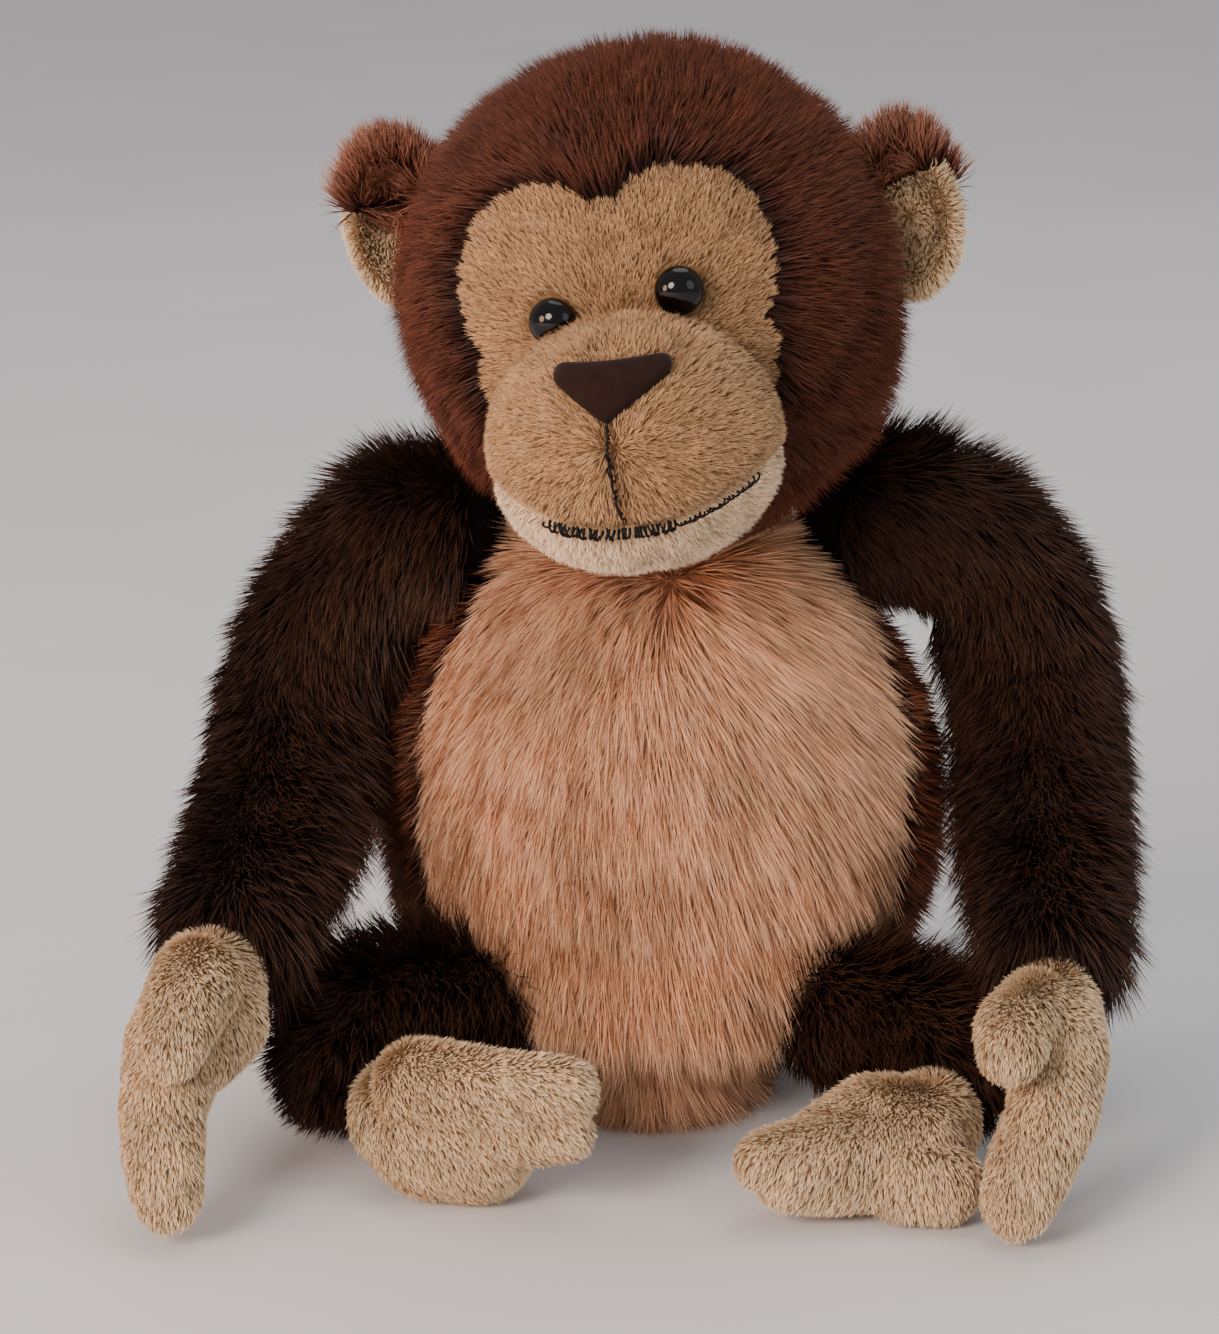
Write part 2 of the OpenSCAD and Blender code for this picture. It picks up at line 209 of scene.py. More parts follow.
def split_cover(cover, names, side_of):
    """Cuts a cover into panels: side_of(centre) gives the index of the panel that each face belongs to."""
    panels = []
    for index, name in enumerate(names):
        panel = new_piece(name, cover.data.copy())
        panel.data.name = name
        cut = bmesh.new()
        cut.from_mesh(panel.data)
        gone = [f for f in cut.faces if side_of(f.calc_center_median()) != index]
        bmesh.ops.delete(cut, geom=gone, context="FACES")
        cut.to_mesh(panel.data)
        cut.free()
        panels.append(panel)
    bpy.data.objects.remove(cover)
    return panels


def plush(name, root, middle, tip, streak, patch_mm, sheen):
    """Polyester plush pile: darker towards the fibre roots as painted shade between the fibres, paler and
    softer at their tips.
    """
    material, tree, shader = new_material(
        name, Roughness=0.62, Specular_IOR_Level=0.25, Sheen_Weight=sheen, Sheen_Roughness=0.45)
    shader.inputs["Sheen Tint"].default_value = colour(tip)
    height = add_node(tree, "ShaderNodeAttribute", attribute_name="tip")
    # The ramp darkens each fibre towards its root: painted shade in the depth of the pile, on top of the
    # shadow that the fibres cast.
    ramp = add_node(tree, "ShaderNodeValToRGB", {"Fac": height.outputs["Fac"]})
    ramp.color_ramp.elements[0].color = colour(root)
    ramp.color_ramp.elements[1].color = colour(tip)
    ramp.color_ramp.elements.new(0.5).color = colour(middle)
    # Each fibre is a little lighter or darker, and so is each patch of the pile
    fibre = add_node(tree, "ShaderNodeAttribute", attribute_name="fibre")
    fibre_value = add_node(tree, "ShaderNodeMapRange", {
        "Value": fibre.outputs["Fac"], "To Min": 1 - streak, "To Max": 1 + streak})
    place = add_node(tree, "ShaderNodeTexCoord")
    patches = add_node(tree, "ShaderNodeTexNoise", {
        "Vector": place.outputs["Object"], "Scale": 1 / (patch_mm * MM), "Detail": 3.0})
    patch_value = add_node(tree, "ShaderNodeMapRange", {
        "Value": patches, "From Min": 0.3, "From Max": 0.7, "To Min": 0.84, "To Max": 1.16})
    both = add_node(tree, "ShaderNodeMath", {0: fibre_value, 1: patch_value}, operation="MULTIPLY")
    shade = add_node(tree, "ShaderNodeVectorMath", {0: ramp, "Scale": both}, operation="SCALE")
    tree.links.new(shade.outputs["Vector"], shader.inputs["Base Color"])
    return material


def backing(name, shade):
    """Knitted backing, matt, with stitches 1.2 mm apart, in about the root colour of its pile as painted
    shade: seen only as shadow between the fibres.
    """
    material, tree, shader = new_material(name, Roughness=0.9, Specular_IOR_Level=0.1)
    base = colour(shade)
    knit = two_tones(tree, shader, 1.2 * MM, [c * 0.7 for c in base[:3]] + [1], base)
    bump = add_node(tree, "ShaderNodeBump", {"Height": knit, "Distance": 0.3 * MM})
    tree.links.new(bump.outputs["Normal"], shader.inputs["Normal"])
    return material


PILE_INPUTS = {
    "Density": 3.0e6, "Length": 9 * MM, "Width": 0.42 * MM, "Locks": 1.0e5, "Gather": 0.4, "Wave": 0.3,
    "Wave size": 9 * MM, "Ruffle": 0.2, "Twist": 1.2, "Floor": 0.2 * MM,
}


def new_tree(name, sizes):
    """An empty Geometry Nodes tree with its named inputs, and the outputs of its input node."""
    tree = bpy.data.node_groups.new(name, "GeometryNodeTree")
    kinds = {"Geometry": "Geometry", **dict.fromkeys(sizes, "Float"), "Seed": "Int", "Material": "Material"}
    for socket, kind in kinds.items():
        tree.interface.new_socket(socket, in_out="INPUT", socket_type=f"NodeSocket{kind}")
    tree.interface.new_socket("Geometry", in_out="OUTPUT", socket_type="NodeSocketGeometry")
    return tree, add_node(tree, "NodeGroupInput").outputs


def grown(piece, tree, values):
    """Runs a tree on a piece with its named inputs, and keeps the result as a plain mesh."""
    growth = piece.modifiers.new("growth", "NODES")
    growth.node_group = tree
    for item in tree.interface.items_tree:
        if item.in_out == "INPUT" and item.name in values:
            growth[item.identifier] = values[item.name]
    return flattened(piece)


def pile_tree(segments, bend):
    """Pile on a cloth: flat tapering fibres stand on the faces, lean along the nap and gather in locks."""
    tree, given = new_tree(f"pile_{segments}", PILE_INPUTS)
    seed = given["Seed"]
    cover, nap, tall, lock = (
        add_node(tree, "GeometryNodeInputNamedAttribute", {"Name": name}, data_type=kind).outputs["Attribute"]
        for name, kind in (("cover", "FLOAT"), ("nap", "FLOAT_VECTOR"), ("tall", "FLOAT"), ("lock", "FLOAT")))

    # One fibre: a ribbon one unit long that tapers to its tip and bends along X
    ribbon = add_node(tree, "GeometryNodeMeshGrid", {
        "Size X": 1.0, "Size Y": 1.0, "Vertices X": 2, "Vertices Y": segments + 1})
    corner = add_node(tree, "ShaderNodeSeparateXYZ", {0: add_node(tree, "GeometryNodeInputPosition")})
    along = add_node(tree, "ShaderNodeMath", {0: corner.outputs["Y"], 1: 0.5}, operation="ADD")
    squared = add_node(tree, "ShaderNodeMath", {0: along, 1: along}, operation="MULTIPLY")
    taper = add_node(tree, "ShaderNodeMath", {0: 1.0, 1: squared}, operation="SUBTRACT")
    across = add_node(tree, "ShaderNodeMath", {0: corner.outputs["X"], 1: taper}, operation="MULTIPLY")
    bent = add_node(tree, "ShaderNodeMath", {0: squared, 1: bend}, operation="MULTIPLY")
    place = add_node(tree, "ShaderNodeCombineXYZ", {"X": bent, "Y": across, "Z": along})
    marked = add_node(tree, "GeometryNodeStoreNamedAttribute", {
        "Geometry": ribbon, "Name": "tip", "Value": along}, data_type="FLOAT", domain="POINT")
    shaped = add_node(tree, "GeometryNodeSetPosition", {"Geometry": marked, "Position": place})
    fibre = add_node(tree, "GeometryNodeMergeByDistance", {"Geometry": shaped, "Distance": 0.001})

    # Roots on the cloth, where its own "cover" value lets them grow
    density = add_node(tree, "ShaderNodeMath", {0: given["Density"], 1: cover}, operation="MULTIPLY")
    roots = add_node(tree, "GeometryNodeDistributePointsOnFaces", {
        "Mesh": given["Geometry"], "Density": density, "Seed": seed})

    # Each fibre leans towards the middle of its own lock
    spot = add_node(tree, "GeometryNodeInputPosition")
    middles = add_node(tree, "GeometryNodeDistributePointsOnFaces", {
        "Mesh": given["Geometry"], "Density": given["Locks"], "Seed": seed})
    nearest = add_node(tree, "GeometryNodeSampleNearest", {"Geometry": middles}, domain="POINT")
    middle = add_node(tree, "GeometryNodeSampleIndex", {
        "Geometry": middles, "Value": spot, "Index": nearest}, data_type="FLOAT_VECTOR", domain="POINT")
    aside = add_node(tree, "ShaderNodeVectorMath", {0: middle, 1: spot}, operation="SUBTRACT")
    gather = add_node(tree, "ShaderNodeMath", {0: given["Gather"], 1: given["Length"]}, operation="DIVIDE")
    lock_push = add_node(tree, "ShaderNodeVectorMath", {0: aside, "Scale": gather}, operation="SCALE")
    lock_shade = add_node(tree, "FunctionNodeRandomValue", {
        2: 0.0, 3: 1.0, "ID": nearest, "Seed": seed}, data_type="FLOAT")

    # Direction: the cloth's normal, the nap, a slow wave, the lock and a little disorder
    wave_scale = add_node(tree, "ShaderNodeMath", {0: 1.0, 1: given["Wave size"]}, operation="DIVIDE")
    waves = add_node(tree, "ShaderNodeTexNoise", {"Vector": spot, "Scale": wave_scale, "Detail": 2.0})
    centred = add_node(tree, "ShaderNodeVectorMath", {
        0: waves.outputs["Color"], 1: (0.5, 0.5, 0.5)}, operation="SUBTRACT")
    wave = add_node(tree, "ShaderNodeMath", {0: given["Wave"], 1: 4.0}, operation="MULTIPLY")
    wave_push = add_node(tree, "ShaderNodeVectorMath", {0: centred, "Scale": wave}, operation="SCALE")
    stray = add_node(tree, "FunctionNodeRandomValue", {
        0: (-1.0, -1.0, -1.0), 1: (1.0, 1.0, 1.0), "Seed": seed}, data_type="FLOAT_VECTOR")
    stray_push = add_node(tree, "ShaderNodeVectorMath", {
        0: stray, "Scale": given["Ruffle"]}, operation="SCALE")
    first = add_node(tree, "ShaderNodeVectorMath", {0: roots.outputs["Normal"], 1: nap}, operation="ADD")
    waved = add_node(tree, "ShaderNodeVectorMath", {0: first, 1: wave_push}, operation="ADD")
    straight = add_node(tree, "ShaderNodeVectorMath", {0: waved}, operation="NORMALIZE")
    second = add_node(tree, "ShaderNodeVectorMath", {0: straight, 1: lock_push}, operation="ADD")
    third = add_node(tree, "ShaderNodeVectorMath", {0: second, 1: stray_push}, operation="ADD")
    turn = add_node(tree, "FunctionNodeAxesToRotation", {
        0: third, 1: nap}, primary_axis="Z", secondary_axis="X")
    twist_low = add_node(tree, "ShaderNodeMath", {0: given["Twist"], 1: -1.0}, operation="MULTIPLY")
    twist = add_node(tree, "FunctionNodeRandomValue", {
        2: twist_low, 3: given["Twist"], "Seed": seed}, data_type="FLOAT")
    twist_turn = add_node(tree, "FunctionNodeAxisAngleToRotation", {
        "Axis": (0.0, 0.0, 1.0), "Angle": twist.outputs[1]})
    turned = add_node(tree, "FunctionNodeRotateRotation", {
        "Rotation": turn, "Rotate By": twist_turn}, rotation_space="LOCAL")

    # Size of each fibre
    uneven = add_node(tree, "FunctionNodeRandomValue", {2: 0.72, 3: 1.08, "Seed": seed}, data_type="FLOAT")
    lock_tall = add_node(tree, "ShaderNodeMapRange", {
        "Value": lock_shade.outputs[1], "To Min": 0.88, "To Max": 1.08})
    length_a = add_node(tree, "ShaderNodeMath", {0: given["Length"], 1: tall}, operation="MULTIPLY")
    length_b = add_node(tree, "ShaderNodeMath", {0: length_a, 1: uneven.outputs[1]}, operation="MULTIPLY")
    length_c = add_node(tree, "ShaderNodeMath", {0: length_b, 1: lock_tall}, operation="MULTIPLY")
    size = add_node(tree, "ShaderNodeCombineXYZ", {"X": length_c, "Y": given["Width"], "Z": length_c})
    locked = add_node(tree, "GeometryNodeStoreNamedAttribute", {
        "Geometry": roots, "Name": "lock", "Value": lock_shade.outputs[1]}, data_type="FLOAT", domain="POINT")
    fibres = add_node(tree, "GeometryNodeInstanceOnPoints", {
        "Points": locked, "Instance": fibre, "Rotation": turned, "Scale": size})
    shade = add_node(tree, "FunctionNodeRandomValue", {2: 0.0, 3: 1.0, "Seed": seed}, data_type="FLOAT")
    mixed = add_node(tree, "ShaderNodeMix", {0: 0.45, 2: shade.outputs[1], 3: lock}, data_type="FLOAT")
    shaded = add_node(tree, "GeometryNodeStoreNamedAttribute", {
        "Geometry": fibres, "Name": "fibre", "Value": mixed}, data_type="FLOAT", domain="INSTANCE")
    plain = add_node(tree, "GeometryNodeRealizeInstances", {"Geometry": shaded})

    # Fibres that would reach through the table lie on it
    end = add_node(tree, "ShaderNodeSeparateXYZ", {0: add_node(tree, "GeometryNodeInputPosition")})
    lifted = add_node(tree, "ShaderNodeMath", {0: end.outputs["Z"], 1: given["Floor"]}, operation="MAXIMUM")
    rested = add_node(tree, "ShaderNodeCombineXYZ", {
        "X": end.outputs["X"], "Y": end.outputs["Y"], "Z": lifted})
    settled = add_node(tree, "GeometryNodeSetPosition", {"Geometry": plain, "Position": rested})
    finished = add_node(tree, "GeometryNodeSetMaterial", {"Geometry": settled, "Material": given["Material"]})
    add_node(tree, "NodeGroupOutput", {"Geometry": finished})
    return tree


def grow_pile(cloth, name, tree, material, seed, **sizes):
    """Grows the pile of a cloth as a piece of its own."""
    pile = new_piece(name, cloth.data.copy())
    own_sizes = {key.replace("_", " "): value for key, value in sizes.items()}
    return grown(pile, tree, {**PILE_INPUTS, **own_sizes, "Seed": seed, "Material": material})


def comb(cloth, direction, cover=lambda p, n: 1.0, tall=lambda p, n: 1.0):
    """Writes the nap's direction, where pile grows and how tall it is on a cloth's own points."""
    mesh = cloth.data
    for name, kind in (("nap", "FLOAT_VECTOR"), ("cover", "FLOAT"), ("tall", "FLOAT")):
        mesh.attributes.new(name, kind, "POINT")
    # Adding an attribute moves the earlier ones, so all three are fetched once they all exist
    nap, grows, height = (mesh.attributes[name] for name in ("nap", "cover", "tall"))
    for index, vertex in enumerate(mesh.vertices):
        p, n = vertex.co, vertex.normal
        way = direction(p, n)
        nap.data[index].vector = way - n * way.dot(n)
        grows.data[index].value = cover(p, n)
        height.data[index].value = tall(p, n)


def pivot(name):
    """The point that the named joint turns about, from the record."""
    joints = frame["record"]["behaviour"]["joints"]
    return Vector(next(j["pos_m"] for j in joints if j["name"] == name))


DOWN = Vector((0, 0, -1))
mid_pile = pile_tree(2, 0.22)
short_pile = pile_tree(2, 0.3)

# Long pile: near black in its depths, where the fibre roots and the backing are painted shade, warm brown or
# peach at the tips, with a soft silky sheen
dark_brown = plush("dark_brown_plush", "#0b0503", "#1d0e08", "#4e301f", 0.3, 16, 0.2)
# The body sides are the head's red-brown plush; this copy is lighter, for the light on the sides: painted
# light.
body_brown_lit_copy = plush("body_brown_plush_lit_copy", "#190a05", "#422015", "#844b31", 0.26, 16, 0.3)
dark_backing = backing("dark_knit_backing", "#120806")
peach = plush("peach_shaggy_plush", "#bd8664", "#d19973", "#e4bd9b", 0.1, 22, 0.3)
peach_backing = backing("peach_knit_backing", "#c68a68")

belly_centre = Vector((2, 0, 66)) * MM
belly_half = (48 * MM, 60 * MM)


def in_belly(p):
    across = (p.x - belly_centre.x) / belly_half[0]
    up = (p.z - belly_centre.z) / belly_half[1]
    return p.y < 0 and abs(across) ** 2.2 + abs(up) ** 2.2 < 1


def body_side(p):
    if in_belly(p):
        return 0
    return 1 if p.x > 0 else 2


body_cover = cover_over("body_cover", ["body_stuffing", "pellet_fill"], 1.6 * MM, 8, 0.4 * MM)
# The pellets settle: low in front the belly sags forwards, and behind the legs the bag slumps down
sag = 17 * MM
slump_top = 30 * MM
for vertex in body_cover.data.vertices:
    spot = vertex.co
    low = math.exp(-((spot.z - 10 * MM) / (24 * MM)) ** 2)
    front = max(0.0, min(1.0, -spot.y / (25 * MM)))
    spot.y -= sag * low * front * math.exp(-(spot.x / (36 * MM)) ** 4)
    behind = max(0.0, min(1.0, (spot.y + 24 * MM) / (20 * MM)))
    if 0 < spot.z < slump_top:
        spot.z -= behind * (spot.z - slump_top * (spot.z / slump_top) ** 1.9)
        spot.z = max(spot.z, 0.2 * MM)
belly, side_left, side_right = split_cover(
    body_cover, ["belly_cloth", "body_cloth_left", "body_cloth_right"], body_side)
parting = Vector((4, -40, 112)) * MM


def belly_nap(p, n):
    away = p - parting
    away.y = 0
    return away.normalized() * 0.9 + DOWN * 2.3


def belly_tall(p, n):
    """The last locks hang over the seat."""
    return 1 + 0.75 * max(0.0, 1 - p.z / (46 * MM))


def side_nap(p, n):
    return DOWN * 0.8 + Vector((math.copysign(0.3, p.x), 0.4, 0))


def clear_of_joints(p, n):
    """No pile inside the hollows that the limbs and the neck turn in."""
    for name, reach in HOLLOWS.items():
        if (p - pivot(name)).length < reach:
            return 0.0
    return 0.25 if p.z < 3 * MM else 1.0


HOLLOWS = {
    "shoulder_left_lift": 17.4 * MM, "shoulder_right_lift": 17.4 * MM,
    "hip_left_lift": 16.4 * MM, "hip_right_lift": 16.4 * MM, "neck_turn": 18.4 * MM,
}
comb(belly, belly_nap, tall=belly_tall)
belly.data.materials.append(peach_backing)
belly_pile = grow_pile(
    belly, "belly_pile", mid_pile, peach, 3, Length=14 * MM, Density=4.1e6, Width=0.34 * MM,
    Locks=1.1e5, Gather=0.6, Wave=0.34, Wave_size=11 * MM, Ruffle=0.1)
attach(belly, "body")
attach(belly_pile, "body")
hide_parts("belly_panel", "body_stuffing", "pellet_bag_top", "pellet_bag_cup", "pellet_fill")
for cloth, name, seed in ((side_left, "body_side_left", 4), (side_right, "body_side_right", 5)):
    comb(cloth, side_nap, clear_of_joints)
    cloth.data.materials.append(dark_backing)
    pile = grow_pile(
        cloth, name.replace("side", "pile"), mid_pile, body_brown_lit_copy, seed, Length=10.5 * MM, Density=2.2e6,
        Width=0.46 * MM, Locks=1.1e5, Gather=0.45)
    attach(cloth, "body")
    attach(pile, "body")
    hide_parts(name)
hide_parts("seat_panel")

# ---- Arms ----
# Long soft tubes of the dark plush, each an outer and an inner panel sewn edge to edge,
# lightly stuffed so that they bend at the elbow. The nap runs down to the wrist.

for side, seed in (("left", 10), ("right", 11)):
    arm = cover_over(f"arm_cloth_{side}", [f"arm_stuffing_{side}"], 1.4 * MM, 10, 0.5 * MM)
    shoulder = pivot(f"shoulder_{side}_lift")
    wrist = pivot(f"wrist_{side}_bend")

    def crown(p, n, shoulder=shoulder):
        """1 on top of the shoulder, 0 from 45 mm away."""
        return max(0.0, 1 - (p - shoulder).length / (45 * MM)) * max(0.0, n.z)

    # The stuffing bulges over the shoulder and has sunk to the inner side of the arm
    crown_swell = 4.5 * MM
    inner_swell = 4 * MM
    for vertex in arm.data.vertices:
        outwards = math.copysign(1, vertex.co.x)
        vertex.co.z += crown_swell * crown(vertex.co, vertex.normal)
        if 50 * MM < vertex.co.z < 112 * MM:
            high = min(1.0, (vertex.co.z - 50 * MM) / (15 * MM), (112 * MM - vertex.co.z) / (15 * MM))
            vertex.co.x -= outwards * inner_swell * high * max(0.0, -vertex.normal.x * outwards)

    def at_cuff(p, wrist=wrist):
        return max(0.0, 1 - (p - wrist).length / (28 * MM))

    def arm_nap(p, n, shoulder=shoulder):
        out = Vector((math.copysign(0.7, p.x), 0, -0.7))
        near_top = max(0.0, 1 - (p - shoulder).length / (45 * MM))
        down = Vector((0, -0.35, -0.9)) * (1 + 1.4 * at_cuff(p))
        return out * near_top + down * (1 - near_top)

    def arm_tall(p, n):
        """Fuller over the shoulder and towards the body, and hanging over the hand at the cuff."""
        inner = max(0.0, -n.x * math.copysign(1, p.x)) if p.z < 108 * MM else 0.0
        return 1 + 0.35 * crown(p, n) + 0.45 * inner + 1.1 * at_cuff(p)

    def arm_cover(p, n, shoulder=shoulder, wrist=wrist):
        inside_body = abs(p.x) < abs(shoulder.x) - 3 * MM
        inside_wrist = (p - wrist).length < 12.4 * MM
        return 0.0 if inside_body or inside_wrist else 1.0

    comb(arm, arm_nap, arm_cover, arm_tall)
    arm.data.materials.append(dark_backing)
    pile = grow_pile(
        arm, f"arm_pile_{side}", mid_pile, dark_brown, seed, Length=10 * MM, Density=3.6e6,
        Width=0.36 * MM, Locks=2.2e5, Gather=0.3)
    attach(arm, f"arm_{side}")
    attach(pile, f"arm_{side}")
    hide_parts(f"arm_outer_{side}", f"arm_inner_{side}", f"arm_stuffing_{side}")

# ---- Legs ----
# Short stubs of the dark plush that come out of the front corners of the body.

for side, seed in (("left", 14), ("right", 15)):
    leg = cover_over(f"leg_cloth_{side}", [f"leg_stuffing_{side}"], 1.4 * MM, 10, 0.5 * MM)
    hip = pivot(f"hip_{side}_lift")
    ankle = pivot(f"ankle_{side}_turn")

    def leg_nap(p, n, hip=hip, ankle=ankle):
        return (ankle - hip).normalized() * 0.8 + DOWN * 0.3

    def leg_cover(p, n, hip=hip, ankle=ankle):
        inside_ankle = (p - ankle).length < 12 * MM
        inside_body = abs(p.x) < abs(hip.x) and p.y > hip.y
        return 0.0 if inside_ankle or inside_body else 1.0

    comb(leg, leg_nap, leg_cover, lambda p, n: 1 + 0.9 * max(0.0, n.z))
    leg.data.materials.append(dark_backing)
    pile = grow_pile(
        leg, f"leg_pile_{side}", mid_pile, dark_brown, seed, Length=8.5 * MM, Density=3.2e6,
        Width=0.4 * MM, Locks=1.3e5, Gather=0.5)
    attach(leg, f"leg_{side}")
    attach(pile, f"leg_{side}")
    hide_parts(f"leg_outer_{side}", f"leg_inner_{side}", f"leg_stuffing_{side}")

# ---- Hands and feet ----
# Mittens and feet of tan velour, two panels each with a lobe for the thumb or big toe.
# The nap is under 2 mm and brushed towards the fingertips.

# Velour: a short dense pile, so it is matt, even and pale, with its own shade only in the creases
tan = plush("tan_velour", "#97734f", "#d3b189", "#f6e2bf", 0.14, 7, 0.25)
# The backing is about the velour's root colour: painted shade between the fibres.
tan_backing = backing("tan_knit_backing", "#8a6a48")

VELOUR = {"Locks": 1.5e6, "Gather": 0.8, "Wave": 0.3, "Wave_size": 4 * MM, "Ruffle": 0.15}

# The stuffed lobes of each hand and foot: chains of (x, y, z, radius) in millimetres
LOBES = {
    "hand_left": (
        ((80, -71, 37, 9.8), (80, -86, 33, 9.8), (78.5, -96, 25, 8.6), (73.5, -102, 15.5, 8.2),
         (71, -104.5, 9.5, 7.0)),
        ((76, -80, 40, 7.8), (70.5, -94, 41, 7.3), (69.2, -102.5, 39.5, 6.0))),
    "hand_right": (
        ((-90, -70, 42, 11.0), (-95, -84, 34, 10.2), (-97.2, -94, 25, 8.2), (-96.5, -101, 16.5, 7.6),
         (-95.5, -104.5, 10.5, 6.6)),
        ((-90, -72, 42, 10.0), (-87.5, -77, 37, 9.6), (-90, -86, 33, 7.0)),
        ((-91, -82, 47, 8.6), (-93, -92, 44, 7.6), (-94.5, -99, 39, 6.0))),
    "foot_left": (
        ((56, -70, 13, 10.2), (51, -83, 12, 11.2), (36, -90, 12.2, 10.0), (28, -93, 12.2, 8.4)),
        ((55, -76, 14.5, 8.6), (44, -81, 16.5, 9.6), (34, -87, 14, 8.0)),
        ((50, -91, 9.5, 8.6), (57.5, -92, 8.2, 7.4)),
        ((30, -91, 14, 7.0), (21.5, -96, 14.5, 5.4))),
    "foot_right": (
        ((-50, -70, 14.5, 11.8), (-45, -77, 12.8, 12.4), (-36, -80, 12.4, 11.6)),
        ((-47, -80, 24.6, 8.8), (-34, -89, 26.6, 7.8), (-18, -93, 28, 6.2)),
        ((-32, -86, 17, 7.0), (-18, -94, 20, 5.4))),
}


def lobed_cover(name, lobes, voxel, rounds):
    """A stuffed cover of round lobes, welded from balls set closely along each chain."""
    balls = bmesh.new()
    steps = 7
    for chain in lobes:
        for a, b in zip(chain, chain[1:]):
            for step in range(steps + 1):
                x, y, z, r = (a[i] + (b[i] - a[i]) * step / steps for i in range(4))
                place = Matrix.Translation(Vector((x, y, z)) * MM)
                bmesh.ops.create_icosphere(balls, subdivisions=3, radius=r * MM, matrix=place)
    return stuffed(name, balls, voxel, rounds, 0.0, 0.3 * MM)


for limb, joint_end in (("hand", "bend"), ("foot", "turn")):
    for side, seed in (("left", 20), ("right", 21)):
        name = f"{limb}_{side}"
        mitten = lobed_cover(f"{limb}_cloth_{side}", LOBES[name], 0.8 * MM, 7)
        root = pivot(f"{'wrist' if limb == 'hand' else 'ankle'}_{side}_{joint_end}")

        def mitten_nap(p, n, root=root):
            return (p - root).normalized() + DOWN * 0.9

        comb(mitten, mitten_nap)
        mitten.data.materials.append(tan_backing)
        pile = grow_pile(
            mitten, f"{limb}_pile_{side}", short_pile, tan, seed, Length=2.1 * MM, Density=8.0e6,
            Width=0.3 * MM, **VELOUR)
        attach(mitten, name)
        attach(pile, name)
        panels = ("back", "palm") if limb == "hand" else ("top", "sole")
        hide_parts(*[f"{limb}_{panel}_{side}" for panel in panels], f"{limb}_stuffing_{side}")

# ---- Head fur ----
# Two side panels and a gusset over the crown, in red-brown long pile brushed away from the face.

face_turn = math.radians(8)
face_lean = math.radians(9)
head_centre = Vector((-1, -12, 173.5)) * MM
face_frame = (Matrix.Translation(head_centre)
              @ Matrix.Rotation(-face_turn, 4, "Z") @ Matrix.Rotation(-face_lean, 4, "Y"))
to_face = face_frame.inverted()
face_turned = face_frame.to_3x3()
head_radii = Vector((46.9, 44.9, 46.4)) * MM
muzzle_centre = Vector((0.5, -49, -21.2)) * MM
muzzle_radii = Vector((28.0, 26.8, 24.6)) * MM


def in_muzzle(q, grow=1.0):
    d = q - muzzle_centre
    return sum((d[i] / (muzzle_radii[i] * grow)) ** 2 for i in range(3)) < 1


def in_mask(q):
    """The face mask's outline in the face's own frame: two brow lobes and two cheeks."""
    if q.y > 0:
        return False
    for side in (-1, 1):
        brow = ((q.x + 0.6 * MM - side * 13.4 * MM) / (18 * MM)) ** 2 + ((q.z - 9 * MM) / (20 * MM)) ** 2
        cheek = ((q.x + 0.6 * MM - side * 15.4 * MM) ** 2 + (q.z + 8 * MM) ** 2) / (14 * MM) ** 2
        if brow < 1 or cheek < 1:
            return True
    return abs(q.x) < 14 * MM and -20 * MM < q.z < 25 * MM


def facing_out(piece):
    """Welds a closed piece's doubled points and turns its faces outwards."""
    skin = bmesh.new()
    skin.from_mesh(piece.data)
    bmesh.ops.remove_doubles(skin, verts=skin.verts, dist=1e-6)
    bmesh.ops.recalc_face_normals(skin, faces=skin.faces)
    skin.to_mesh(piece.data)
    skin.free()
    piece.data.shade_smooth()
    return piece


def between_rings(rings, around):
    """The faces between rings of points, each of which goes once round."""
    return [(a + s, a + (s + 1) % around, a + around + (s + 1) % around, a + around + s)
            for a in range(0, (rings - 1) * around, around) for s in range(around)]


def ball_mesh(name, centre, radii, around, up, bulge=None):
    """A closed ball in the face's frame, with its poles at the front and back, shaped by bulge."""
    points = []
    for row in range(1, up):
        tilt = math.pi * row / up
        for step in range(around):
            turn = 2 * math.pi * step / around
            d = Vector((math.sin(tilt) * math.cos(turn), -math.cos(tilt), math.sin(tilt) * math.sin(turn)))
            points.append(d)
    points += [Vector((0, -1, 0)), Vector((0, 1, 0))]
    front, back = len(points) - 2, len(points) - 1
    faces = [(front, (s + 1) % around, s) for s in range(around)]
    faces += between_rings(up - 1, around)
    last = (up - 2) * around
    faces += [(back, last + s, last + (s + 1) % around) for s in range(around)]
    placed = []
    for d in points:
        grow = bulge(d) if bulge else 1.0
        q = centre + Vector((d[i] * radii[i] for i in range(3))) * grow
        placed.append(face_frame @ q)
    return facing_out(mesh_object(name, placed, faces))


gusset_half = 11 * MM


def head_side(p):
    q = to_face @ p
    if in_muzzle(q, 0.96):
        return 4
    if in_mask(q):
        return 0
    if abs(q.x) < gusset_half:
        return 3
    return 1 if q.x > 0 else 2


head_ball = ball_mesh("head_ball", Vector(), head_radii, 150, 90)
mask, head_left, head_right, gusset = split_cover(
    head_ball, ["mask_cloth", "head_cloth_left", "head_cloth_right", "head_cloth_gusset"], head_side)
red_brown = plush("red_brown_plush", "#1a0a06", "#3c1b0f", "#6b3a27", 0.28, 14, 0.2)
# The backing is about the pile's root colour: painted shade between the fibres.
red_backing = backing("red_brown_knit_backing", "#1e0c07")


def head_nap(p, n):
    q = to_face @ p
    away = Vector((q.x, 12 * MM, q.z + 6 * MM)).normalized()
    return face_turned @ away * 1.2 + DOWN * 0.6


def head_tall(p, n):
    """Fuller fur low on the cheeks."""
    q = to_face @ p
    low = max(0.0, min(1.0, (-8 * MM - q.z) / (20 * MM)))
    return 1 + 0.35 * low * max(0.0, n.x)


def head_cover(p, n):
    return 0.0 if (p - pivot("neck_turn")).length < 18.0 * MM else 1.0


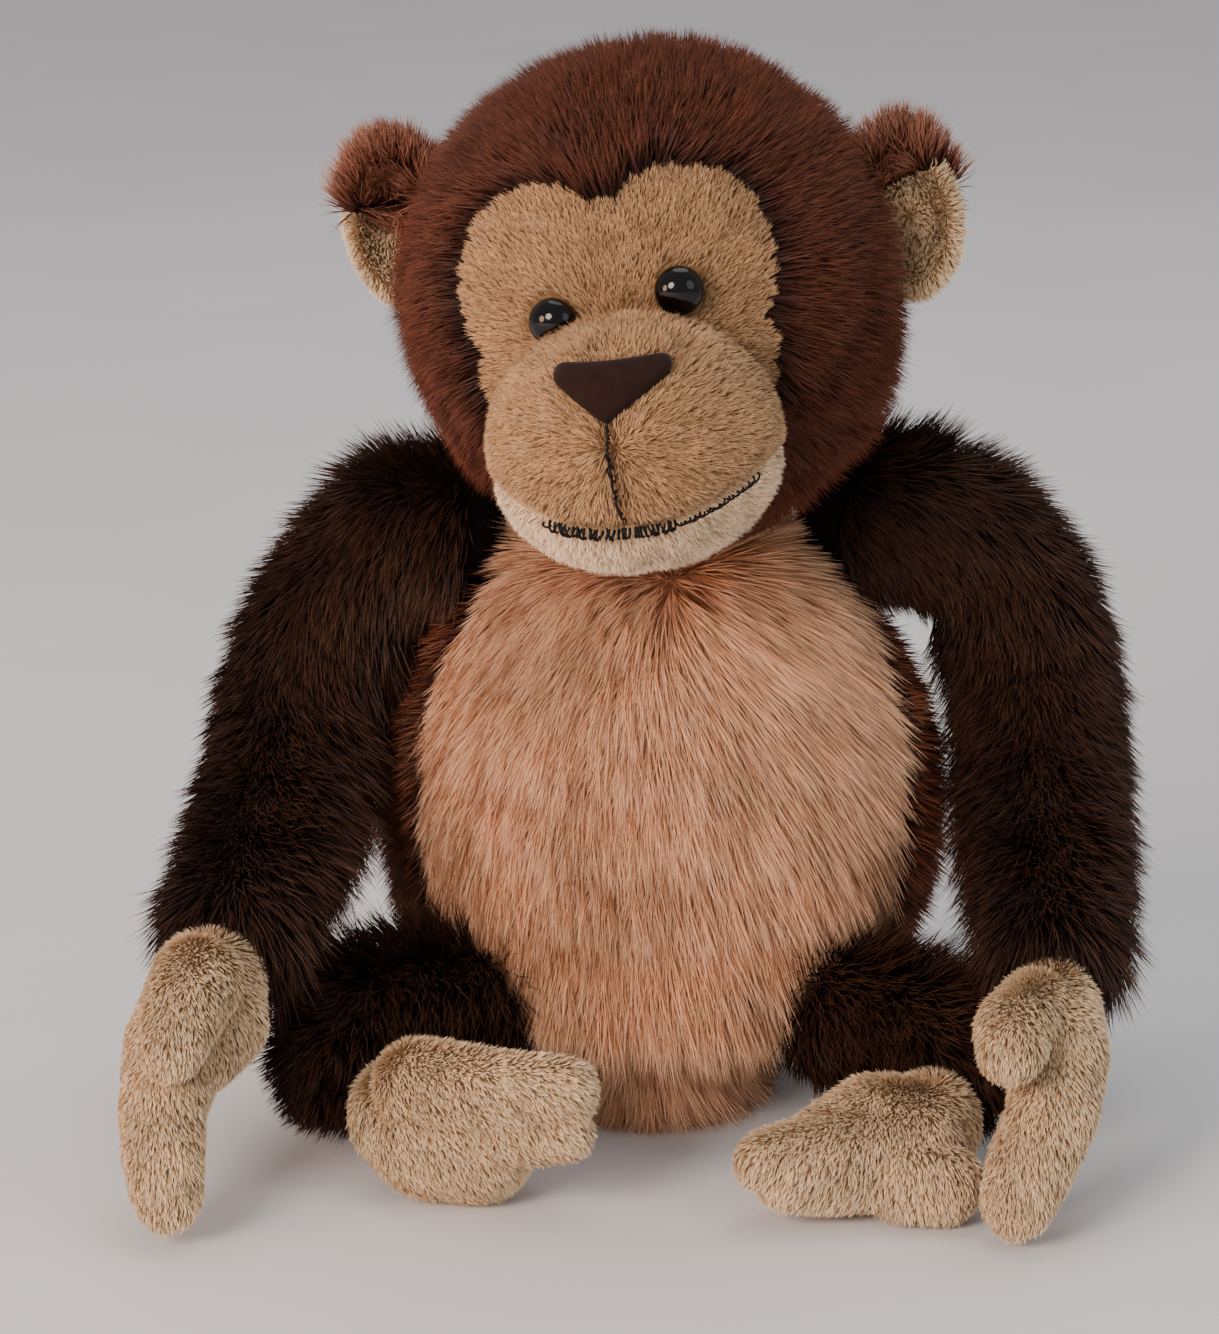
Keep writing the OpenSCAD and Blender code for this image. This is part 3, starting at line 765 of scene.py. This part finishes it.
for cloth, name, seed, nodes in (
        (head_left, "head_pile_left", 30, ["head_fur_left"]),
        (head_right, "head_pile_right", 31, ["head_fur_right"]),
        (gusset, "head_pile_gusset", 32, ["head_gusset", "head_stuffing"])):
    comb(cloth, head_nap, head_cover, head_tall)
    cloth.data.materials.append(red_backing)
    pile = grow_pile(
        cloth, name, mid_pile, red_brown, seed, Length=9.2 * MM, Density=4.3e6, Width=0.35 * MM,
        Locks=2.4e5, Gather=0.32, Wave=0.36, Wave_size=12 * MM)
    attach(cloth, "head")
    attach(pile, "head")
    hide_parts(*nodes)

# ---- Face mask ----
# Tan velour let into the front of the head, its edge half hidden by the long pile.


def mask_nap(p, n):
    q = to_face @ p
    return face_turned @ Vector((q.x, 0, q.z + 10 * MM)).normalized() * 1.5


eye_spots = []
for side in ("left", "right"):
    low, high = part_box(f"eye_{side}")
    eye_spots.append(to_face @ Vector([(a + b) / 2 for a, b in zip(low, high)]))


eye_rim = 4.9 * MM


def off_the_eyes(p, n):
    """No pile grows under the rim of an eye."""
    for eye_spot in eye_spots:
        away = to_face @ p - eye_spot
        away.y = 0
        if away.length < eye_rim:
            return 0.0
    return 1.0


# The face uses a darker, warmer copy of the same tan velour: painted shade with the warm cast of the light,
# as the face gets less light than the hands and feet
shaded_face_tan = plush("tan_velour_shaded_face_copy", "#775538", "#a9815a", "#caa57f", 0.14, 7, 0.25)
comb(mask, mask_nap, off_the_eyes)
mask.data.materials.append(tan_backing)
mask_pile = grow_pile(
    mask, "mask_pile", short_pile, shaded_face_tan, 40, Length=2.1 * MM, Density=9.5e6, Width=0.28 * MM,
    **VELOUR)
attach(mask, "head")
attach(mask_pile, "head")
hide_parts("face_mask", "eye_washer_left", "eye_washer_right")

# ---- Muzzle and chin ----
# A firmly stuffed ball of tan velour, drawn in by a dart below the nose and by the
# mouth seam, with a strip of cream velour for the chin.

mouth_drop = -34.3
mouth_middle = 2.0
smile = 0.012
dart_x = 0.0


def mouth_height(x):
    """Height of the mouth seam at x, both in the face's frame."""
    return (mouth_drop + smile * (x / MM - mouth_middle) ** 2) * MM


def muzzle_swell(d):
    """The stuffed ball: full cheeks, and flatter on top towards the left eye."""
    front = max(0.0, -d.y)
    cheeks = 0.03 * abs(math.sin(2 * math.atan2(d.z, d.x))) * (1 - front * 0.3)
    top = max(0.0, d.z)
    return 1 + cheeks - 0.035 * top - 0.08 * top * max(0.0, d.x)


def muzzle_shape(d):
    q = muzzle_centre + Vector((d[i] * muzzle_radii[i] for i in range(3)))
    front = max(0.0, -d.y)
    seam = math.exp(-((q.z - mouth_height(q.x)) / (1.7 * MM)) ** 2) * front
    below_nose = 1 if mouth_height(q.x) < q.z < -12 * MM else 0
    dart = math.exp(-((q.x - dart_x * MM) / (1.6 * MM)) ** 2) * front * below_nose
    return muzzle_swell(d) - 0.045 * seam - 0.04 * dart


def muzzle_side(p):
    q = to_face @ p
    if sum((q[i] / (head_radii[i] * 0.97)) ** 2 for i in range(3)) < 1:
        return 2
    return 0 if q.z > mouth_height(q.x) else 1


muzzle_ball = ball_mesh("muzzle_ball", muzzle_centre, muzzle_radii, 200, 110, muzzle_shape)
muzzle, chin = split_cover(muzzle_ball, ["muzzle_cloth", "chin_cloth"], muzzle_side)
cream = plush("cream_velour", "#c4a07a", "#e1c39f", "#f4e0c4", 0.06, 9, 0.3)
# The backing is about the pile's root colour: painted shade between the fibres.
cream_backing = backing("cream_knit_backing", "#c0a07c")


def muzzle_nap(p, n):
    q = to_face @ p - Vector((muzzle_centre.x, 0, 0))
    way = Vector((q.x, 0, q.z + 18 * MM)).normalized()
    return face_turned @ way * 1.7


nose_corners = [Vector(c) * MM for c in ((-8.0, -4.6), (10.6, -5.0), (-0.3, -11.0))]
nose_corner_r = 2.0 * MM


def nose_gap(p):
    """Distance from p out of the nose's rounded triangle, negative inside it, in the face's x and z."""
    inside = True
    nearest = 1.0
    for i in range(3):
        a, b = nose_corners[i], nose_corners[(i + 1) % 3]
        edge = b - a
        t = max(0.0, min(1.0, (p - a).dot(edge) / edge.length_squared))
        nearest = min(nearest, (p - a - edge * t).length)
        inside = inside and edge.x * (p - a).y - edge.y * (p - a).x < 0
    return -nearest - nose_corner_r if inside else nearest - nose_corner_r


def muzzle_grows(p, n):
    """No pile under the nose patch, and little where the threads press it down."""
    q = to_face @ p
    if q.y > muzzle_centre.y:
        return 1.0
    if nose_gap(Vector((q.x, q.z))) < 0.0:
        return 0.0
    across = q.x - muzzle_centre.x
    on_mouth = abs(q.z - mouth_height(q.x)) < 0.9 * MM and -21 * MM < across < 26 * MM
    on_dart = abs(q.x - dart_x * MM) < 0.35 * MM and mouth_height(q.x) < q.z < -12 * MM
    return 0.15 if on_mouth or on_dart else 1.0


def muzzle_tall(p, n):
    q = to_face @ p
    near = abs(q.z - mouth_height(q.x))
    near_nose = nose_gap(Vector((q.x, q.z))) if q.y < muzzle_centre.y else 1.0
    return min(1.0, 0.5 + near / (5 * MM), 0.55 + max(0.0, near_nose) / (4 * MM))


# The muzzle takes the face's darker copy of the tan velour: painted shade.
for cloth, name, shade, under, seed, node in (
        (muzzle, "muzzle_pile", shaded_face_tan, tan_backing, 41, "muzzle_cover"),
        (chin, "chin_pile", cream, cream_backing, 42, "chin_panel")):
    comb(cloth, muzzle_nap, muzzle_grows, muzzle_tall)
    cloth.data.materials.append(under)
    pile = grow_pile(
        cloth, name, short_pile, shade, seed, Length=2.4 * MM, Density=8.4e6, Width=0.3 * MM,
        Locks=1.3e6, Gather=0.9, Wave=0.35, Wave_size=5 * MM, Ruffle=0.15)
    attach(cloth, "head")
    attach(pile, "head")
    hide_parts(node)

# ---- Nose ----
# A rounded triangle of dark brown suede, stitched on over a little wadding.


def on_muzzle(x, z, lift):
    """The point of the muzzle's front at x and z in the face's frame, lifted off the cloth."""
    dx, dz = (x - muzzle_centre.x) / muzzle_radii.x, (z - muzzle_centre.z) / muzzle_radii.z
    inside = max(0.0, 1 - dx * dx - dz * dz)
    d = Vector((dx, -math.sqrt(inside), dz))
    out = Vector((d[i] / muzzle_radii[i] for i in range(3))).normalized()
    swell = muzzle_swell(d)
    q = muzzle_centre + Vector((d[i] * muzzle_radii[i] * swell for i in range(3))) + out * lift
    return face_frame @ q, face_turned @ out


nose_middle = Vector((0.9, -6.8)) * MM
nose_height = 2.9 * MM


def nose_edge(turn):
    """Reach of the nose's outline from its middle in one direction."""
    way = Vector((math.cos(turn), math.sin(turn)))
    low, high = 0.0, 20 * MM
    for _ in range(30):
        half = (low + high) / 2
        if nose_gap(nose_middle + way * half) < 0:
            low = half
        else:
            high = half
    return low


def build_nose():
    """The patch: rings from its middle out to the edge, domed and turned under all round."""
    rings, around = 14, 120
    points = []
    outline = [nose_edge(2 * math.pi * s / around) for s in range(around)]
    for ring in range(rings + 1):
        share = ring / rings
        for s in range(around):
            turn = 2 * math.pi * s / around
            reach = outline[s] * min(1.0, share * 1.06 if ring < rings else 1.02)
            p = nose_middle + Vector((math.cos(turn), math.sin(turn))) * reach
            height = nose_height * math.sqrt(max(0.0, 1 - share ** 5)) - (0.4 * MM if ring == rings else 0)
            points.append(on_muzzle(p.x, p.y, height)[0])
    return facing_out(mesh_object("nose_patch_suede", points, between_rings(rings + 1, around)))


def suede():
    """Imitation suede: a 0.5 mm nap with soft scuffs 4 mm across, so it looks dry and has no shine."""
    material, tree, shader = new_material(
        "brown_suede", Roughness=0.85, Specular_IOR_Level=0.15, Sheen_Weight=0.08, Sheen_Roughness=0.4)
    place = add_node(tree, "ShaderNodeTexCoord")
    nap = add_node(tree, "ShaderNodeTexNoise", {
        "Vector": place.outputs["Object"], "Scale": 1 / (0.5 * MM), "Detail": 6.0, "Roughness": 0.7})
    scuffs = add_node(tree, "ShaderNodeTexNoise", {"Vector": place.outputs["Object"], "Scale": 1 / (4 * MM)})
    mixed = add_node(tree, "ShaderNodeMix", {0: 0.45, 2: nap, 3: scuffs}, data_type="FLOAT")
    ramp = add_node(tree, "ShaderNodeValToRGB", {"Fac": mixed})
    ramp.color_ramp.elements[0].position = 0.3
    ramp.color_ramp.elements[0].color = colour("#180906")
    ramp.color_ramp.elements[1].position = 0.75
    ramp.color_ramp.elements[1].color = colour("#2e1a13")
    bump = add_node(tree, "ShaderNodeBump", {"Height": nap, "Distance": 0.12 * MM, "Strength": 0.5})
    tree.links.new(ramp.outputs["Color"], shader.inputs["Base Color"])
    tree.links.new(bump.outputs["Normal"], shader.inputs["Normal"])
    return material


nose = build_nose()
nose.data.materials.append(suede())
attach(nose, "head")
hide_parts("nose_patch")

# ---- Mouth and philtrum stitches ----
# Black embroidery thread: ragged satin stitches across the mouth seam, thickest in the
# middle, and a line of running stitches down the dart.


def stitch_tree():
    """Short threads laid on given points, each across its own direction and pressed into the pile."""
    tree, given = new_tree("stitches", ["Thread radius"])
    across, out, reach = (
        add_node(tree, "GeometryNodeInputNamedAttribute", {"Name": name}, data_type=kind).outputs["Attribute"]
        for name, kind in (("across", "FLOAT_VECTOR"), ("out", "FLOAT_VECTOR"), ("reach", "FLOAT")))
    arc = add_node(tree, "GeometryNodeCurveArc", {
        "Resolution": 7, "Start": (-0.5, 0.0, -0.35), "Middle": (0.0, 0.0, 0.22), "End": (0.5, 0.0, -0.35)},
        mode="POINTS")
    ring = add_node(tree, "GeometryNodeCurvePrimitiveCircle", {"Resolution": 6, "Radius": 1.0}, mode="RADIUS")
    spots = add_node(tree, "GeometryNodeMeshToPoints", {"Mesh": given["Geometry"]})
    turn = add_node(tree, "FunctionNodeAxesToRotation", {
        0: across, 1: out}, primary_axis="X", secondary_axis="Z")
    sway = add_node(tree, "FunctionNodeRandomValue", {
        2: -0.42, 3: 0.42, "Seed": given["Seed"]}, data_type="FLOAT")
    sway_turn = add_node(tree, "FunctionNodeAxisAngleToRotation", {
        "Axis": (0.0, 0.0, 1.0), "Angle": sway.outputs[1]})
    turned = add_node(tree, "FunctionNodeRotateRotation", {
        "Rotation": turn, "Rotate By": sway_turn}, rotation_space="LOCAL")
    uneven = add_node(tree, "FunctionNodeRandomValue", {
        2: 0.75, 3: 1.3, "Seed": given["Seed"]}, data_type="FLOAT")
    long = add_node(tree, "ShaderNodeMath", {0: reach, 1: uneven.outputs[1]}, operation="MULTIPLY")
    size = add_node(tree, "ShaderNodeCombineXYZ", {"X": long, "Y": long, "Z": 1.6 * MM})
    arcs = add_node(tree, "GeometryNodeInstanceOnPoints", {
        "Points": spots, "Instance": arc, "Rotation": turned, "Scale": size})
    plain = add_node(tree, "GeometryNodeRealizeInstances", {"Geometry": arcs})
    thread_size = add_node(tree, "GeometryNodeCurveToMesh", {
        "Curve": plain, "Profile Curve": ring, "Scale": given["Thread radius"], "Fill Caps": True})
    finished = add_node(tree, "GeometryNodeSetMaterial", {
        "Geometry": thread_size, "Material": given["Material"]})
    add_node(tree, "NodeGroupOutput", {"Geometry": finished})
    return tree


def sew(name, tree, spots, radius, material, seed):
    """spots is a list of (point, across, out, reach). Returns the sewn threads as one piece."""
    piece = mesh_object(name, [s[0] for s in spots])
    for index, key in enumerate(("across", "out", "reach"), 1):
        kind, slot = ("FLOAT", "value") if key == "reach" else ("FLOAT_VECTOR", "vector")
        values = piece.data.attributes.new(key, kind, "POINT")
        for i, spot in enumerate(spots):
            setattr(values.data[i], slot, spot[index])
    grown(piece, tree, {"Thread radius": radius, "Seed": seed, "Material": material})
    piece.data.shade_smooth()
    return piece


# Embroidery thread: near black, broken every 0.4 mm by its twist, with a faint shine
black_thread, thread_nodes, thread_shader = new_material(
    "black_embroidery_thread", Roughness=0.6, Specular_IOR_Level=0.2)
two_tones(thread_nodes, thread_shader, 0.4 * MM, colour("#060405"), colour("#171214"))
stitches = stitch_tree()
mouth_spots = []
lift = 1.9 * MM
# x runs along the mouth in millimetres: satin stitches, then a thin running line to its left corner
x = -14.5
while x < 24:
    thick = -14 < x < 9
    point, out = on_muzzle(x * MM, mouth_height(x * MM), lift)
    ahead, _ = on_muzzle((x + 0.5) * MM, mouth_height((x + 0.5) * MM), lift)
    along = (ahead - point).normalized()
    across = out.cross(along)
    if thick:
        mouth_spots.append((point, across, out, 2.7 * MM))
        mouth_spots.append((point, across + along * 0.3, out, 2.1 * MM))
    else:
        mouth_spots.append((point, along + across * 0.12, out, 1.9 * MM))
    x += 0.8 + 0.35 * math.sin(2.3 * x) if thick else 0.9
mouth = sew("mouth_threads", stitches, mouth_spots, 0.24 * MM, black_thread, 50)
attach(mouth, "head")
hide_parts("mouth_stitch")
philtrum_spots = []
z = -13.6
while z > -31.5:
    drift = dart_x + 0.5 * math.sin((z + 14) / 6)
    point, out = on_muzzle(drift * MM, z * MM, 1.3 * MM)
    below, _ = on_muzzle(drift * MM, (z - 0.5) * MM, 1.3 * MM)
    philtrum_spots.append((point, (below - point).normalized(), out, 2.4 * MM))
    z -= 1.3
philtrum = sew("philtrum_threads", stitches, philtrum_spots, 0.22 * MM, black_thread, 51)
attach(philtrum, "head")
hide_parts("philtrum_stitch")

# ---- Eyes ----
# Black moulded plastic safety eyes, a polished dome with a thin rim, on a ribbed stem
# that goes through the mask into a washer.


# Polished black acrylic: a deep gloss with a trace of brown, dulled a little in scuffs 1.5 mm across
acrylic, acrylic_nodes, acrylic_shader = new_material("polished_black_acrylic", Specular_IOR_Level=0.35)
scuffs = two_tones(acrylic_nodes, acrylic_shader, 1.5 * MM, colour("#030202"), colour("#0b0606"), 5.0)
gloss = add_node(acrylic_nodes, "ShaderNodeMapRange", {"Value": scuffs, "To Min": 0.03, "To Max": 0.14})
acrylic_nodes.links.new(gloss.outputs[0], acrylic_shader.inputs["Roughness"])
for side in ("left", "right"):
    eye = frame["nodes"][f"eye_{side}"]
    dome = new_piece(f"eye_dome_{side}", eye.data.copy())
    smoothed(dome, 0.36 * MM, 6)
    dome.data.shade_smooth()
    dome.data.materials.clear()
    dome.data.materials.append(acrylic)
    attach(dome, "head")
    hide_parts(f"eye_{side}")

# ---- Ears ----
# A cupped front of tan velour and a back of long pile, sewn round the rim, and folding
# on the seam where they meet the head.

ear_wide = 11.0 * MM
ear_tall = 15.5 * MM
rim_roll = 2.2 * MM
rim_set_forward = 1.2 * MM
ear_middles = {"left": Vector((54.8, 6.5, 8)) * MM, "right": Vector((-50.5, 6.5, 20.5)) * MM}
ear_brown = plush("ear_brown_plush", "#2e150d", "#683927", "#ae7862", 0.28, 14, 0.25)


def placed_on_ear(side, r, turn, depth):
    """A point of the ear r from its middle (1 at the rim), depth behind the rim's seam."""
    out = 1 if side == "left" else -1
    x = math.cos(turn) * (ear_wide - rim_roll) * r
    z = math.sin(turn) * (ear_tall - rim_roll) * r
    return face_frame @ (ear_middles[side] + Vector((out * x, depth - rim_set_forward, z)))


def ear_point(side, r, turn, back):
    """A point of the cupped ear, on its front or its back."""
    hollow = (6.6 * MM if back else 5.2 * MM) * (1 - r ** 2.4)
    return placed_on_ear(side, r, turn, hollow + (rim_roll if back else -rim_roll))


def ear_cover(side):
    """The cupped ear as one closed skin with a rolled rim."""
    around, rings, roll = 96, 26, 8
    turns = [2 * math.pi * s / around for s in range(around)]
    rows = [[ear_point(side, ring / rings, turn, False) for turn in turns] for ring in range(1, rings + 1)]
    for step in range(1, roll):
        lean = math.pi * step / roll
        reach = 1 + math.sin(lean) * 0.24
        rows.append([placed_on_ear(side, reach, turn, -math.cos(lean) * rim_roll) for turn in turns])
    rows += [[ear_point(side, ring / rings, turn, True) for turn in turns] for ring in range(rings, 0, -1)]
    points = [p for row in rows for p in row]
    points += [ear_point(side, 0, 0, False), ear_point(side, 0, 0, True)]
    faces = between_rings(len(rows), around)
    last = (len(rows) - 1) * around
    faces += [(len(points) - 2, (s + 1) % around, s) for s in range(around)]
    faces += [(len(points) - 1, last + s, last + (s + 1) % around) for s in range(around)]
    return facing_out(mesh_object(f"ear_{side}", points, faces))


for side in ("left", "right"):
    ear = ear_cover(side)
    middle = ear_middles[side]

    def ear_side(p, side=side, middle=middle):
        """0 on the velour front, 1 on the back, whose pile folds forwards over the top as a tuft."""
        q = to_face @ p - middle
        tuft = q.z + 0.5 * q.x > 0 if side == "right" else q.z - 0.3 * q.x > 7.5 * MM
        near_rim = q.x ** 2 + (q.z * 0.75) ** 2 > (8.5 * MM) ** 2
        seam_depth = -1.4 * MM if near_rim else 4.6 * MM
        return 1 if tuft or q.y >= seam_depth else 0

    front, back = split_cover(ear, [f"ear_front_cloth_{side}", f"ear_back_cloth_{side}"], ear_side)

    def ear_front_nap(p, n, middle=middle):
        q = to_face @ p - middle
        return face_turned @ Vector((q.x, 0, q.z)).normalized() * 0.7

    def ear_back_nap(p, n, middle=middle):
        q = to_face @ p - middle
        if q.z < 5 * MM:
            return face_turned @ Vector((0, 1, -0.5)) * 1.8
        return face_turned @ Vector((q.x, 0, q.z + 6 * MM)).normalized() * 1.2

    def ear_back_tall(p, n, middle=middle):
        q = to_face @ p - middle
        return 1.0 if q.z > 2 * MM else 0.7

    comb(front, ear_front_nap)
    comb(back, ear_back_nap, tall=ear_back_tall)
    front.data.materials.append(tan_backing)
    back.data.materials.append(red_backing)
    front_pile = grow_pile(
        front, f"ear_front_pile_{side}", short_pile, tan, 60, Length=2.1 * MM, Density=9.5e6,
        Width=0.28 * MM, **VELOUR)
    back_pile = grow_pile(
        back, f"ear_back_pile_{side}", mid_pile, ear_brown, 61, Length=8.5 * MM, Density=7.5e6,
        Width=0.33 * MM, Locks=1.6e5, Gather=0.35)
    for piece in (front, back, front_pile, back_pile):
        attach(piece, f"ear_{side}")
    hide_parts(f"ear_front_{side}")
    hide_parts(f"ear_back_{side}")

# ---- Neck ----
# A ball of the head's own stuffing pushed down into the neck seam, wrapped in the backing.

neck = cover_over("neck_cloth", ["neck_stuffing"], 1.2 * MM, 4, 0.0)
# Its near-black backing colour is painted shade in the neck seam.
neck.data.materials.append(dark_backing)
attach(neck, "neck")
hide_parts("neck_stuffing")
